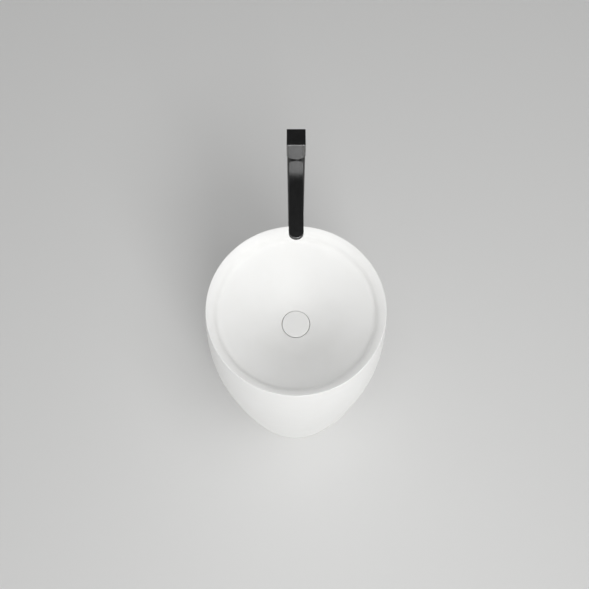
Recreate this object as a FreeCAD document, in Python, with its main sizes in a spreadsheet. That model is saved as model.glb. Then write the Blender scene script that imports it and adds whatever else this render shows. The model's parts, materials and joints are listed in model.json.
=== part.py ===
"""A freestanding washbasin with a floor-standing single-lever tap behind it.

The basin is a cast bowl bonded on a hollow barrel-shaped pedestal that hides the waste and the bottle trap.
The tap is a column that stands on its own floor plate, with a flat spout over the back of the bowl.
Millimetres, +Z up, +Y to the back. The origin is on the floor, on the basin's axis.
"""
import FreeCAD, Part
import math
import os
import re

import Sketcher
from FreeCAD import Placement, Rotation, Vector

# Driving dimensions, in millimetres and degrees.
SIZES = {
    # basin, outside: the belly stands out past the rim, and a flatter arc runs from there to the floor
    "rim_dia": 480,
    "rim_height": 850,
    "belly_bulge": 12.3,
    "belly_drop": 214,
    "taper_start": 146,
    "taper_radius": 6540,
    "shell_wall": 15,
    "base_gasket_thick": 2,
    "base_gasket_inset": 2,
    # bowl: rounded lip, fillet, a cone, and a flatter dish around the drain
    "bowl_edge": 36,
    "bowl_fit": 4,
    "bowl_wall": 13,
    "bowl_depth": 139,
    "lip_radius": 40,
    "lip_start": 22,
    "lip_slope": 76,
    "lip_fillet": 30,
    # the cone runs along a line from the lip's end to a point this far below the drain's edge
    "cone_aim": 7.24,
    "cone_dia": 220,
    "drain_hole": 46,
    "drain_floor": 13.5,
    "drain_boss": 92,
    # plug
    "cover_dia": 77,
    "cover_gap": 1.5,
    "cover_thick": 6,
    "cover_rise": 3,
    "carrier_dia": 60,
    "carrier_thick": 2.2,
    "carrier_boss": 14,
    "carrier_boss_drop": 6,
    "plug_seal_thick": 2,
    "plug_seal_width": 10,
    "plug_seat_gap": 0.3,
    "stem_dia": 8,
    "stem_collar": 12,
    "stem_collar_thick": 2,
    "stem_top_gap": 1.3,
    # push-push mechanism
    "click_dia": 16,
    "click_bore": 12.8,
    "click_height": 30,
    "click_floor": 4,
    "click_cap_thick": 4,
    "click_stub": 10,
    "spring_length": 10.7,
    "spring_dia": 10.5,
    "spring_wire": 0.9,
    "spring_turns": 7,
    "spring_gap": 0.3,
    # flanged waste
    "flange_dia": 66,
    "flange_thick": 3,
    "flange_gasket_thick": 1.5,
    "waste_dia": 44,
    "waste_bore": 38,
    "waste_length": 62,
    "spider_drop": 38,
    "spider_thick": 6,
    "spider_hole": 9,
    "spider_circle": 24.4,
    "under_gasket_thick": 5,
    "clamp_dia": 64,
    "slip_washer_thick": 2,
    "lock_nut_thick": 12,
    "lock_nut_flats": 58,
    "thread_gap": 0.1,
    # trap
    "tail_dia": 32,
    "tail_wall": 1.5,
    "tail_flange": 42,
    "tail_flange_thick": 2,
    "inlet_seal_thick": 2,
    "coupling_lip": 4,
    "coupling_grip": 16,
    "coupling_flats": 56,
    "slip_fit": 0.3,
    "trap_drop": 40,
    "trap_dia": 72,
    "trap_wall": 3,
    "trap_roof": 4,
    "trap_height": 62,
    "neck_wall": 5,
    "neck_height": 15,
    "neck_seal_thick": 4,
    "neck_nut_grip": 10,
    "neck_nut_lip": 4,
    "neck_nut_wall": 6,
    "outlet_drop": 28,
    "outlet_reach": 62,
    "cup_seal_thick": 2,
    "cup_collar": 12,
    "cup_wall": 4,
    "cup_depth": 86,
    "cup_floor": 4,
    "dip_clearance": 30,
    "pipe_start": 40,
    "pipe_back": 130,
    "pipe_bend": 40,
    "pipe_end": 5,
    # tap, standing parts
    "tap_back": 317,
    "column_dia": 45,
    "column_wall": 2,
    "plate_dia": 84,
    "plate_thick": 8,
    "plate_spigot": 30,
    "spigot_fit": 0.1,
    "bolt_circle": 66,
    "bolt_hole": 7,
    "inlet_dia": 13.2,
    "inlet_depth": 15,
    "set_screw_dia": 5,
    "set_screw_length": 8,
    "set_screw_sink": 0.3,
    "set_screw_rise": 16,
    "screw_fit": 0.05,
    "rosette_dia": 100,
    "rosette_height": 14,
    "rosette_wall": 1.5,
    "rosette_edge": 2.5,
    "rosette_slope": 8,
    # spout
    "spout_top": 1106,
    "spout_reach": 235,
    "spout_width": 36,
    "tip_thick": 12,
    "root_thick": 26,
    "head_height": 53,
    "head_spigot": 18,
    "head_floor": 21,
    "waterway_dia": 8,
    "aerator_dia": 21,
    "aerator_wall": 1.8,
    "aerator_lip": 1,
    "aerator_height": 9,
    "aerator_seal_thick": 1.5,
    "aerator_roof": 5.5,
    "insert_gap": 0.1,
    # mixer cartridge and lever
    "cartridge_height": 28,
    "cartridge_neck": 4,
    "cartridge_shoulder": 3.5,
    "cartridge_gap": 2,
    "water_gap": 1.3,
    "port_seal_dia": 7.6,
    "port_seal_wire": 1.9,
    "cartridge_nut_thick": 7,
    "rotor_shaft": 10,
    "rotor_shaft_depth": 14,
    "rotor_disc_thick": 4,
    "rotor_inset": 2,
    "running_fit": 0.05,
    "rotor_lift": 0.3,
    "post_dia": 12,
    "post_over": 6,
    "tilt_pin_dia": 5,
    "tilt_pin_length": 24,
    "tilt_range": 20,
    "slot_play": 0.5,
    "hub_wall": 7,
    "hub_over": 5.5,
    "lever_gap": 4,
    "dome_clear": 0.8,
    "dome_radius": 34,
    "lever_width": 46,
    "lever_depth": 46,
    "lever_height": 64,
    "lever_fit": 0.1,
    "grub_dia": 4,
    "grub_sink": 1.5,
    # supply hoses inside the column
    "hose_offset": 9.5,
    "hose_dia": 12,
    "hose_bore": 8,
    "nipple_dia": 10,
    "nipple_bore": 6,
    "nipple_depth": 7.5,
    "ferrule_wall": 1,
    "ferrule_length": 14,
}

# Sizes that follow from the driving dimensions.
FORMULAS = {
    # outside of the basin
    "rim_r": "rim_dia / 2",
    "belly_r": "rim_r + belly_bulge",
    "belly_z": "rim_height - belly_drop",
    "barrel_radius": "(belly_drop ^ 2 + belly_bulge ^ 2) / (2 * belly_bulge)",
    "taper_sin": "taper_start / barrel_radius",
    "taper_cos": "sqrt(1 - taper_sin ^ 2)",
    "barrel_axis": "belly_r - barrel_radius",
    "join_r": "barrel_axis + barrel_radius * taper_cos",
    "join_z": "belly_z - taper_start",
    "taper_axis_r": "join_r - taper_radius * taper_cos",
    "taper_axis_z": "join_z + taper_radius * taper_sin",
    "base_z": "base_gasket_thick",
    "base_r": "taper_axis_r + sqrt(taper_radius ^ 2 - (base_z - taper_axis_z) ^ 2)",
    "base_in_r": "taper_axis_r + sqrt((taper_radius - shell_wall) ^ 2 - (base_z - taper_axis_z) ^ 2)",
    "join_in_r": "join_r - shell_wall * taper_cos",
    "join_in_z": "join_z + shell_wall * taper_sin",
    "seam_z": "rim_height - bowl_edge",
    "seam_r": "barrel_axis + sqrt(barrel_radius ^ 2 - (seam_z - belly_z) ^ 2)",
    "seam_in_r": "barrel_axis + sqrt((barrel_radius - shell_wall) ^ 2 - (seam_z - belly_z) ^ 2)",
    # inside of the bowl
    "recess_r": "cover_dia / 2 + cover_gap",
    "edge_z": "rim_height - bowl_depth",
    "lip_end_r": "rim_r - lip_radius * (sin(lip_slope) - sin(lip_start))",
    "lip_end_z": "rim_height - lip_radius * (cos(lip_start) - cos(lip_slope))",
    "cone_slope": "atan((lip_end_z - edge_z + cone_aim) / (lip_end_r - recess_r))",
    "cone_top_r": "lip_end_r - lip_fillet * (sin(lip_slope) - sin(cone_slope))",
    "cone_top_z": "lip_end_z - lip_fillet * (cos(cone_slope) - cos(lip_slope))",
    "dish_r": "cone_dia / 2",
    "dish_z": "cone_top_z - (cone_top_r - dish_r) * tan(cone_slope)",
    "dish_run": "dish_r - recess_r",
    "dish_fall": "dish_z - edge_z",
    "dish_lean": "dish_run * sin(cone_slope) - dish_fall * cos(cone_slope)",
    "dish_radius": "(dish_run ^ 2 + dish_fall ^ 2) / (2 * dish_lean)",
    "dish_axis_r": "dish_r - dish_radius * sin(cone_slope)",
    "dish_axis_z": "dish_z + dish_radius * cos(cone_slope)",
    "under_radius": "dish_radius + bowl_wall",
    "under_dish_r": "dish_r + bowl_wall * sin(cone_slope)",
    "under_dish_z": "dish_z - bowl_wall * cos(cone_slope)",
    "bowl_spigot_r": "seam_in_r - bowl_fit",
    "bowl_spigot_z": "under_dish_z + (bowl_spigot_r - under_dish_r) * tan(cone_slope)",
    "boss_r": "drain_boss / 2",
    "boss_top_z": "dish_axis_z - sqrt(under_radius ^ 2 - (boss_r - dish_axis_r) ^ 2)",
    # heights of the waste, from the cover down
    "cover_top_z": "edge_z + cover_rise",
    "cover_z": "cover_top_z - cover_thick",
    "carrier_z": "cover_z - carrier_thick",
    "plug_seal_z": "carrier_z - plug_seal_thick",
    "flange_top_z": "plug_seal_z - plug_seat_gap",
    "flange_z": "flange_top_z - flange_thick",
    "recess_z": "flange_z - flange_gasket_thick",
    "boss_z": "recess_z - drain_floor",
    "under_gasket_z": "boss_z - under_gasket_thick",
    "slip_washer_z": "under_gasket_z - slip_washer_thick",
    "lock_nut_z": "slip_washer_z - lock_nut_thick",
    "waste_end_z": "flange_z - waste_length",
    "spider_top_z": "flange_z - spider_drop",
    "spider_z": "spider_top_z - spider_thick",
    "click_top_z": "spider_top_z + click_height",
    "click_floor_z": "spider_top_z + click_floor",
    "stem_z": "click_floor_z + spring_length + spring_gap",
    "stem_top_z": "carrier_z - stem_top_gap",
    "carrier_boss_z": "carrier_z - carrier_boss_drop",
    "thread_r": "waste_dia / 2 + thread_gap",
    # heights of the trap
    "tail_r": "tail_dia / 2",
    "tail_hole_r": "tail_r + slip_fit",
    "inlet_seal_z": "waste_end_z - inlet_seal_thick",
    "tail_top_z": "inlet_seal_z",
    "tail_flange_z": "tail_top_z - tail_flange_thick",
    "trap_r": "trap_dia / 2",
    "trap_z": "waste_end_z - trap_drop",
    "trap_end_z": "trap_z - trap_height",
    "neck_r": "tail_r + neck_wall",
    "neck_top_z": "trap_z + neck_height",
    "neck_nut_flats": "2 * (neck_r + thread_gap + neck_nut_wall)",
    "outlet_z": "trap_z - outlet_drop",
    "cup_seal_z": "trap_end_z - cup_seal_thick",
    "cup_in_r": "trap_r - trap_wall",
    "cup_r": "trap_r + thread_gap + cup_wall",
    "cup_bottom_z": "cup_seal_z - cup_depth",
    "tail_end_z": "cup_bottom_z + cup_floor + dip_clearance",
    # column and its floor plate
    "column_r": "column_dia / 2",
    "column_in_r": "column_r - column_wall",
    "spigot_r": "column_in_r - spigot_fit",
    "head_z": "spout_top - head_height",
    "head_end_z": "head_z - head_spigot",
    "plate_top_z": "plate_thick + plate_spigot",
    "set_screw_z": "plate_thick + set_screw_rise",
    "rosette_r": "rosette_dia / 2",
    # spout
    "tip_y": "tap_back - spout_reach",
    "aerator_y": "tip_y + spout_width / 2",
    "root_y": "tap_back - column_r / 2",
    "aerator_r": "aerator_dia / 2",
    "aerator_top_z": "spout_top - aerator_roof",
    "aerator_seal_z": "aerator_top_z - aerator_seal_thick",
    "aerator_z": "aerator_seal_z - aerator_height",
    # lever: a square block whose underside is a dome about the tilt pivot, dipping into the head's open top
    "lever_z": "spout_top + lever_gap",
    "lever_top_z": "lever_z + lever_height",
    "pivot_z": "lever_z + sqrt(dome_radius ^ 2 - lever_depth ^ 2 / 4)",
    "dome_z": "pivot_z - dome_radius",
    "chamber_r": "sqrt(dome_radius ^ 2 - (pivot_z - spout_top) ^ 2) + dome_clear",
    "chamber_z": "head_end_z + head_floor",
    "cartridge_r": "chamber_r - water_gap",
    "cartridge_z": "chamber_z + cartridge_gap",
    "cartridge_top_z": "cartridge_z + cartridge_height",
    "neck_in_r": "cartridge_r - cartridge_shoulder",
    "cartridge_neck_z": "cartridge_top_z + cartridge_neck",
    "rotor_r": "neck_in_r - rotor_inset",
    "rotor_z": "cartridge_neck_z + rotor_lift",
    "post_r": "post_dia / 2",
    "post_top_z": "pivot_z + post_over",
    "hub_r": "post_r + hub_wall",
    "slot_top_z": "pivot_z + post_r * sin(tilt_range) + post_over * cos(tilt_range) + slot_play",
    "hub_top_z": "slot_top_z + hub_over",
    "grub_z": "slot_top_z + hub_over / 2",
    "slot_front": "post_r + post_over * sin(tilt_range) + slot_play",
    "slot_back": "post_r / cos(tilt_range) + dome_radius * tan(tilt_range) + slot_play",
    "hub_foot_z": "pivot_z - sqrt(dome_radius ^ 2 - hub_r ^ 2)",
    # hoses
    "ferrule_r": "hose_dia / 2 + thread_gap + ferrule_wall",
}

doc = FreeCAD.newDocument("basin")
sheet = doc.addObject("Spreadsheet::Sheet", "Sizes")
for row, (alias, number) in enumerate(SIZES.items(), start=1):
    sheet.set(f"A{row}", str(number))
    sheet.setAlias(f"A{row}", alias)
doc.recompute()

X_AXIS = Vector(1, 0, 0)
Y_AXIS = Vector(0, 1, 0)
UPRIGHT = Rotation()
UPSIDE_DOWN = Rotation(X_AXIS, 180)
ALONG_X = Rotation(Y_AXIS, 90)
ALONG_Y = Rotation(X_AXIS, -90)
SPIDER_HOLES = 6
BOLT_TURNS = (45, 135, 225, 315)

parts = {}


def formula(text):
    """The expression for a size, with each name replaced by its cell or by what it follows from."""
    def spelled(match):
        name = match.group()
        if name in SIZES:
            return f"Sizes.{name}"
        if name in FORMULAS:
            return f"({formula(FORMULAS[name])})"
        return name
    return re.sub(r"[a-z]\w*", spelled, text)


def number(text):
    """What a size comes to now."""
    return float(sheet.evalExpression(formula(text)))


def bind(thing, prop, text):
    """Tie one property of an object to a size."""
    thing.setExpression(prop, formula(text))


def place(thing, x="0", y="0", z="0", turn=UPRIGHT):
    """Put an object at a place given by sizes."""
    thing.Placement = Placement(Vector(number(x), number(y), number(z)), turn)
    for prop, text in (("x", x), ("y", y), ("z", z)):
        if text != "0":
            bind(thing, f"Placement.Base.{prop}", text)
    return thing


def keep(label, thing):
    """Make an object a sub-part under its own name."""
    thing.Label = label
    parts[label] = thing
    return thing


def arc_middle(start, end, radius, side):
    """The middle of the short arc from start to end, with its centre on the left (1) or the right (-1)."""
    chord = end - start
    left = Vector(-chord.y, chord.x, 0).normalize()
    height = radius - (radius ** 2 - (chord.Length / 2) ** 2) ** 0.5
    return (start + end) / 2 - left * (side * height)


def outline_sketch(body, name, plane, outline):
    """A closed sketch in one of a body's origin planes, every corner tied to its sizes.

    Each corner is (across, up). An arc to the next corner adds its radius and the side of its centre.
    """
    sketch = body.newObject("Sketcher::SketchObject", name)
    origin = {feature.Role: feature for feature in body.Origin.OriginFeatures}
    sketch.AttachmentSupport = [(origin[plane], "")]
    sketch.MapMode = "FlatFace"
    corners = [Vector(number(corner[0]), number(corner[1]), 0) for corner in outline]
    ends = []
    for index, corner in enumerate(outline):
        start = corners[index]
        end = corners[(index + 1) % len(corners)]
        if len(corner) == 2:
            edge = sketch.addGeometry(Part.LineSegment(start, end))
        else:
            middle = arc_middle(start, end, number(corner[2]), corner[3])
            edge = sketch.addGeometry(Part.Arc(start, middle, end))
        first, last = (sketch.getPoint(edge, end_number).distanceToPoint(start) for end_number in (1, 2))
        ends.append((edge, 1, 2) if first < last else (edge, 2, 1))
    for index, corner in enumerate(outline):
        edge, first, last = ends[index]
        after = ends[(index + 1) % len(ends)]
        sketch.addConstraint(Sketcher.Constraint("Coincident", edge, last, after[0], after[1]))
        for kind, text, axis in (("DistanceX", corner[0], -2), ("DistanceY", corner[1], -1)):
            if text == "0":
                sketch.addConstraint(Sketcher.Constraint("PointOnObject", edge, first, axis))
            else:
                tie = sketch.addConstraint(Sketcher.Constraint(kind, -1, 1, edge, first, number(text)))
                bind(sketch, f"Constraints[{tie}]", text)
        if len(corner) > 2:
            tie = sketch.addConstraint(Sketcher.Constraint("Radius", edge, number(corner[2])))
            bind(sketch, f"Constraints[{tie}]", corner[2])
    return sketch


def turned(name, outline, **where):
    """A body turned about its own Z axis from an outline of (radius, height) corners."""
    body = doc.addObject("PartDesign::Body", name)
    sketch = outline_sketch(body, name + "_outline", "XZ_Plane", outline)
    revolution = body.newObject("PartDesign::Revolution", name + "_turn")
    revolution.Profile = sketch
    revolution.ReferenceAxis = (sketch, ["V_Axis"])
    revolution.Angle = 360
    sketch.Visibility = False
    return place(body, **where)


def padded(name, outline, width, **where):
    """A body padded evenly to both sides of the YZ plane from an outline of (y, z) corners."""
    body = doc.addObject("PartDesign::Body", name)
    pad = body.newObject("PartDesign::Pad", name + "_pad")
    pad.Profile = outline_sketch(body, name + "_outline", "YZ_Plane", outline)
    pad.SideType = "Symmetric"
    bind(pad, "Length", width)
    return place(body, **where)


def ring(name, inner, outer, low, high, **where):
    """A turned ring with a square section, or a disc where the inner radius is 0."""
    return turned(name, [(inner, low), (outer, low), (outer, high), (inner, high)], **where)


def rod(name, radius, length, **where):
    """A round bar that starts at its place and runs along its own Z axis."""
    bar = doc.addObject("Part::Cylinder", name)
    bind(bar, "Radius", radius)
    bind(bar, "Height", length)
    return place(bar, **where)


def block(name, across, deep, high, **where):
    """A box that starts at its place."""
    box = doc.addObject("Part::Box", name)
    bind(box, "Length", across)
    bind(box, "Width", deep)
    bind(box, "Height", high)
    return place(box, **where)


def hexagon(name, flats, height, **where):
    """A six-sided bar, given by the width across its flats."""
    bar = doc.addObject("Part::Prism", name)
    bar.Polygon = 6
    bind(bar, "Circumradius", f"({flats}) / sqrt(3)")
    bind(bar, "Height", height)
    return place(bar, **where)


def joined(name, *things):
    """Several solids made one."""
    fuse = doc.addObject("Part::MultiFuse", name)
    fuse.Shapes = list(things)
    return fuse


def cut(name, base, *tools):
    """A solid with others taken out of it."""
    taken = doc.addObject("Part::Cut", name)
    taken.Base = base
    taken.Tool = tools[0] if len(tools) == 1 else joined(name + "_tools", *tools)
    return taken


def common(name, one, other):
    """What two solids share."""
    shared = doc.addObject("Part::Common", name)
    shared.Base = one
    shared.Tool = other
    return shared


def basin():
    """The bowl, the pedestal under it and the soft ring on the floor."""
    keep("bowl", turned("bowl_body", [
        ("rim_r", "rim_height", "lip_radius", 1),
        ("lip_end_r", "lip_end_z", "lip_fillet", -1),
        ("cone_top_r", "cone_top_z"),
        ("dish_r", "dish_z", "dish_radius", -1),
        ("recess_r", "edge_z"),
        ("recess_r", "recess_z"),
        ("drain_hole / 2", "recess_z"),
        ("drain_hole / 2", "boss_z"),
        ("boss_r", "boss_z"),
        ("boss_r", "boss_top_z", "under_radius", 1),
        ("under_dish_r", "under_dish_z"),
        ("bowl_spigot_r", "bowl_spigot_z"),
        ("bowl_spigot_r", "seam_z"),
        ("seam_r", "seam_z", "barrel_radius", 1),
    ]))
    keep("pedestal_shell", turned("pedestal_body", [
        ("seam_r", "seam_z", "barrel_radius", -1),
        ("join_r", "join_z", "taper_radius", -1),
        ("base_r", "base_z"),
        ("base_in_r", "base_z", "taper_radius - shell_wall", 1),
        ("join_in_r", "join_in_z", "barrel_radius - shell_wall", 1),
        ("seam_in_r", "seam_z"),
    ]))
    keep("base_gasket", ring("base_gasket_body", "base_in_r + base_gasket_inset",
                             "base_r - base_gasket_inset", "0", "base_gasket_thick"))


def plug():
    """The drain cover with its carrier, seal and stem, which lift together."""
    keep("drain_cover", ring("drain_cover_body", "0", "cover_dia / 2", "cover_z", "cover_top_z"))
    stem_hole = "stem_dia / 2 + running_fit"
    keep("cover_carrier", turned("cover_carrier_body", [
        ("0", "stem_top_z"),
        (stem_hole, "stem_top_z"),
        (stem_hole, "carrier_boss_z"),
        ("carrier_boss / 2", "carrier_boss_z"),
        ("carrier_boss / 2", "carrier_z"),
        ("carrier_dia / 2", "carrier_z"),
        ("carrier_dia / 2", "cover_z"),
        ("0", "cover_z"),
    ]))
    keep("plug_seal", ring("plug_seal_body", "carrier_dia / 2 - plug_seal_width", "carrier_dia / 2",
                           "plug_seal_z", "carrier_z"))
    keep("plug_stem", turned("plug_stem_body", [
        ("0", "stem_z"),
        ("stem_collar / 2", "stem_z"),
        ("stem_collar / 2", "stem_z + stem_collar_thick"),
        ("stem_dia / 2", "stem_z + stem_collar_thick"),
        ("stem_dia / 2", "stem_top_z"),
        ("0", "stem_top_z"),
    ]))


def click_mechanism():
    """The push-push housing on the waste's spider, its cap and its spring."""
    stub_r = "click_stub / 2 - running_fit"
    keep("click_housing", turned("click_housing_body", [
        ("0", "spider_z"),
        (stub_r, "spider_z"),
        (stub_r, "spider_top_z"),
        ("click_dia / 2", "spider_top_z"),
        ("click_dia / 2", "click_top_z"),
        ("click_bore / 2", "click_top_z"),
        ("click_bore / 2", "click_floor_z"),
        ("0", "click_floor_z"),
    ]))
    keep("click_cap", ring("click_cap_body", "stem_dia / 2 + running_fit", "click_dia / 2",
                           "click_top_z", "click_top_z + click_cap_thick"))
    keep("return_spring", spring())


def tangent_arc(start, corner, end):
    """The arc from start to end whose tangents at both meet in the corner."""
    chord_middle = (start + end) / 2
    lean = math.acos((end - start).Length / 2 / (corner - start).Length)
    middle = chord_middle + (corner - chord_middle) * (math.tan(lean / 2) / math.tan(lean))
    return Part.Arc(start, middle, end).toShape()


def biarc(start, heading, end, end_heading):
    """Two arcs that join two points and headings without a kink.

    Both corners lie at one distance d from the ends, the corners are 2 d apart, and the arcs meet halfway.
    """
    chord = end - start
    headings = heading + end_heading
    squared = headings.dot(headings) - 4
    linear = chord.dot(headings)
    distance = (linear - math.sqrt(linear ** 2 - squared * chord.dot(chord))) / squared
    first_corner = start + heading * distance
    last_corner = end - end_heading * distance
    meeting = (first_corner + last_corner) / 2
    return [tangent_arc(start, first_corner, meeting), tangent_arc(meeting, last_corner, end)]


def spring():
    """A compression spring: one round wire along a helix, in tangent arcs for each half turn."""
    wire = number("spring_wire / 2")
    mean = number("spring_dia / 2") - wire
    height = number("spring_length") - 2 * wire
    half_turns = 2 * int(number("spring_turns"))
    rise = height / half_turns
    stations = []
    for step in range(half_turns + 1):
        side = (-1) ** step
        heading = Vector(0, side * math.pi * mean, rise).normalize()
        stations.append((Vector(side * mean, 0, rise * step), heading))
    arcs = []
    for (start, heading), (end, end_heading) in zip(stations, stations[1:]):
        arcs += biarc(start, heading, end, end_heading)
    start, heading = stations[0]
    section = Part.Wire(Part.makeCircle(wire, start, heading))
    coil = doc.addObject("Part::Feature", "return_spring_body")
    coil.Shape = Part.Wire(arcs).makePipeShell([section], True, False)
    print("spring: gap between turns", round(2 * rise - 2 * wire, 2), "mm")
    coil.Placement = Placement(Vector(0, 0, number("click_floor_z") + wire), UPRIGHT)
    return coil


def waste():
    """The flanged waste with its spider, clamped in the bowl by the nut below."""
    tube = turned("waste_tube", [
        ("click_stub / 2", "spider_z"),
        ("waste_bore / 2", "spider_z"),
        ("waste_bore / 2", "waste_end_z"),
        ("waste_dia / 2", "waste_end_z"),
        ("waste_dia / 2", "flange_z"),
        ("flange_dia / 2", "flange_z"),
        ("flange_dia / 2", "flange_top_z"),
        ("waste_bore / 2", "flange_top_z"),
        ("waste_bore / 2", "spider_top_z"),
        ("click_stub / 2", "spider_top_z"),
    ])
    windows = []
    for step in range(SPIDER_HOLES):
        turn = f"{360 * step / SPIDER_HOLES}"
        windows.append(rod(f"waste_window_{step}", "spider_hole / 2", "spider_thick", z="spider_z",
                           x=f"spider_circle / 2 * cos({turn})", y=f"spider_circle / 2 * sin({turn})"))
    keep("waste_body", cut("waste_cut", tube, *windows))
    keep("flange_gasket", ring("flange_gasket_body", "drain_hole / 2", "flange_dia / 2 - flange_gasket_thick",
                               "recess_z", "flange_z"))
    keep("under_gasket", ring("under_gasket_body", "thread_r", "clamp_dia / 2", "under_gasket_z", "boss_z"))
    keep("slip_washer", ring("slip_washer_body", "thread_r", "clamp_dia / 2",
                             "slip_washer_z", "under_gasket_z"))
    keep("lock_nut", cut("lock_nut_cut",
                         hexagon("lock_nut_hex", "lock_nut_flats", "lock_nut_thick", z="lock_nut_z"),
                         rod("lock_nut_bore", "thread_r", "lock_nut_thick", z="lock_nut_z")))


def slip_nut(name, flats, thread, grip, lip, **where):
    """A six-sided nut, its thread at the low end and an inward lip round the pipe at the high end."""
    hexed = hexagon(name + "_hex", flats, f"{grip} + {lip}")
    bore = turned(name + "_bore", [
        ("0", "0"),
        (thread, "0"),
        (thread, grip),
        ("tail_hole_r", grip),
        ("tail_hole_r", f"{grip} + {lip}"),
        ("0", f"{grip} + {lip}"),
    ])
    return place(cut(name + "_cut", hexed, bore), **where)


def trap():
    """The bottle trap that hangs under the waste, and the pipe that takes the water to the floor."""
    keep("inlet_seal", ring("inlet_seal_body", "tail_r", "tail_flange / 2", "inlet_seal_z", "waste_end_z"))
    keep("tailpipe", turned("tailpipe_body", [
        ("tail_r - tail_wall", "tail_end_z"),
        ("tail_r", "tail_end_z"),
        ("tail_r", "tail_flange_z"),
        ("tail_flange / 2", "tail_flange_z"),
        ("tail_flange / 2", "tail_top_z"),
        ("tail_r - tail_wall", "tail_top_z"),
    ]))
    keep("coupling_nut", slip_nut("coupling_nut", "coupling_flats", "thread_r", "coupling_grip",
                                  "coupling_lip", z="tail_flange_z + coupling_grip", turn=UPSIDE_DOWN))
    neck_thread = "neck_r + thread_gap"
    keep("trap_seal", ring("trap_seal_body", "tail_r + running_fit", "neck_r", "neck_top_z",
                           "neck_top_z + neck_seal_thick"))
    keep("trap_nut", slip_nut("trap_nut", "neck_nut_flats", neck_thread, "neck_nut_grip + neck_seal_thick",
                              "neck_nut_lip", z="neck_top_z - neck_nut_grip"))
    keep("trap_body", trap_body())
    keep("outlet_seal", ring("outlet_seal_body", "tail_r + running_fit", "neck_r", "0", "neck_seal_thick",
                             y="outlet_reach", z="outlet_z", turn=ALONG_Y))
    keep("outlet_nut", slip_nut("outlet_nut", "neck_nut_flats", neck_thread,
                                "neck_nut_grip + neck_seal_thick", "neck_nut_lip",
                                y="outlet_reach - neck_nut_grip", z="outlet_z", turn=ALONG_Y))
    keep("cup_seal", ring("cup_seal_body", "cup_in_r", "trap_r", "cup_seal_z", "trap_end_z"))
    thread = "trap_r + thread_gap"
    keep("trap_cup", turned("trap_cup_body", [
        ("0", "cup_bottom_z"),
        ("trap_r - 2 * cup_floor", "cup_bottom_z"),
        ("trap_r + cup_wall - trap_wall", "cup_bottom_z + 2 * cup_floor"),
        ("trap_r + cup_wall - trap_wall", "cup_seal_z - cup_collar"),
        ("cup_r", "cup_seal_z - cup_collar + cup_wall"),
        ("cup_r", "trap_end_z + cup_collar"),
        (thread, "trap_end_z + cup_collar"),
        (thread, "cup_seal_z"),
        ("cup_in_r", "cup_seal_z"),
        ("cup_in_r", "cup_bottom_z + 2 * cup_floor"),
        ("cup_in_r - cup_floor", "cup_bottom_z + cup_floor"),
        ("0", "cup_bottom_z + cup_floor"),
    ]))
    keep("waste_pipe", cut("waste_pipe_cut", bent_pipe("waste_pipe", "tail_r"),
                           bent_pipe("waste_pipe_way", "tail_r - tail_wall")))


def trap_body():
    """The trap's upper half: a hanging cup with a neck on top and the outlet at the back."""
    outside = turned("trap_outside", [
        ("0", "trap_end_z"),
        ("trap_r", "trap_end_z"),
        ("trap_r", "trap_z"),
        ("neck_r", "trap_z"),
        ("neck_r", "neck_top_z"),
        ("0", "neck_top_z"),
    ])
    inside = turned("trap_inside", [
        ("0", "trap_end_z"),
        ("cup_in_r", "trap_end_z"),
        ("cup_in_r", "trap_z - trap_roof"),
        ("tail_hole_r", "trap_z - trap_roof"),
        ("tail_hole_r", "neck_top_z"),
        ("0", "neck_top_z"),
    ])
    outlet = rod("trap_outlet", "neck_r", "outlet_reach", z="outlet_z", turn=ALONG_Y)
    outlet_bore = rod("trap_outlet_bore", "tail_hole_r", "outlet_reach", z="outlet_z", turn=ALONG_Y)
    return cut("trap_body_cut", joined("trap_body_solid", outside, outlet), inside, outlet_bore)


def bent_pipe(name, radius):
    """A solid run out of the trap, a quarter bend and a drop to just above the floor."""
    level = rod(name + "_level", radius, "pipe_back - pipe_bend - pipe_start", y="pipe_start", z="outlet_z",
                turn=ALONG_Y)
    bend = doc.addObject("Part::Torus", name + "_bend")
    bind(bend, "Radius1", "pipe_bend")
    bind(bend, "Radius2", radius)
    bend.Angle3 = 90
    place(bend, y="pipe_back - pipe_bend", z="outlet_z - pipe_bend", turn=Rotation(Y_AXIS, -90))
    drop = rod(name + "_drop", radius, "outlet_z - pipe_bend - pipe_end", y="pipe_back", z="pipe_end")
    return joined(name + "_solid", level, bend, drop)


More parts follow.
